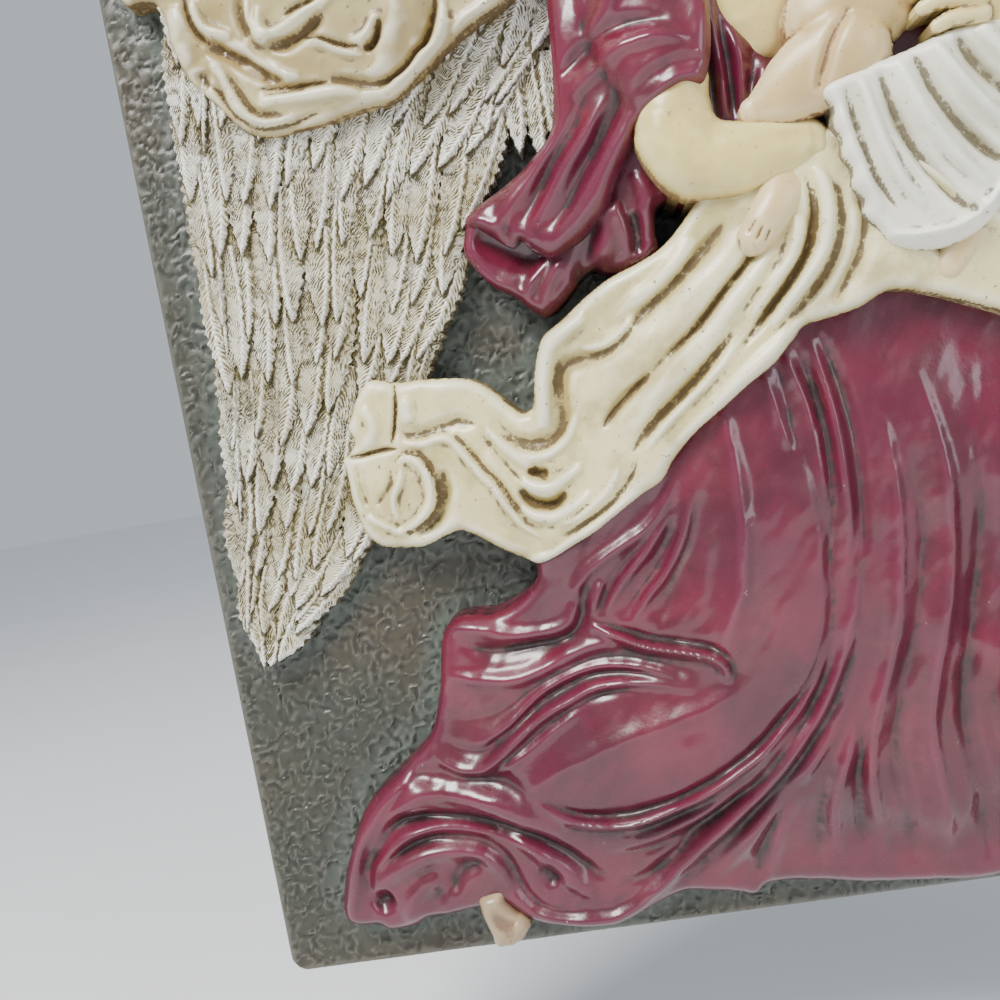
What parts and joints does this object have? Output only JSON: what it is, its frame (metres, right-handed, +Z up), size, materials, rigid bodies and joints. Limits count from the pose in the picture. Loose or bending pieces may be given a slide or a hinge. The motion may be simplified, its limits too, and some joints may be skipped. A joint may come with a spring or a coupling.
{
  "type": "angel wall plaque",
  "caption": "Rectangular cast wall plaque with a robed winged figure carrying a small child in deep relief on a textured slab; hangs flat on a wall.",
  "frame": {"origin": "middle of the slab's flat back, in the plane of the wall", "axes": "+Z up, +X to the viewer's right, -Y out of the wall towards the viewer"},
  "size_m": [0.33, 0.054, 0.38],
  "materials": {
    "plaque": "hand-painted resin with a brown antique wash",
    "slab": "dull grey-brown paint with a dark wash on a wrinkled cast face",
    "wing": "ivory paint, rubbed back on the feathers, with an olive wash",
    "cream": "cream paint with an olive-brown wash in the folds, satin varnish",
    "robe": "wine-red paint with a dark wash in the folds, glossy varnish",
    "skin": "ivory flesh paint, satin varnish",
    "child_skin": "warm flesh paint, satin varnish",
    "white_cloth": "off-white paint with a thin grey wash, satin varnish",
    "hair": "light brown paint with a dark wash, satin varnish"
  },
  "bodies": {
    "root": {"plaque": "plaque"}
  },
  "joints": []
}
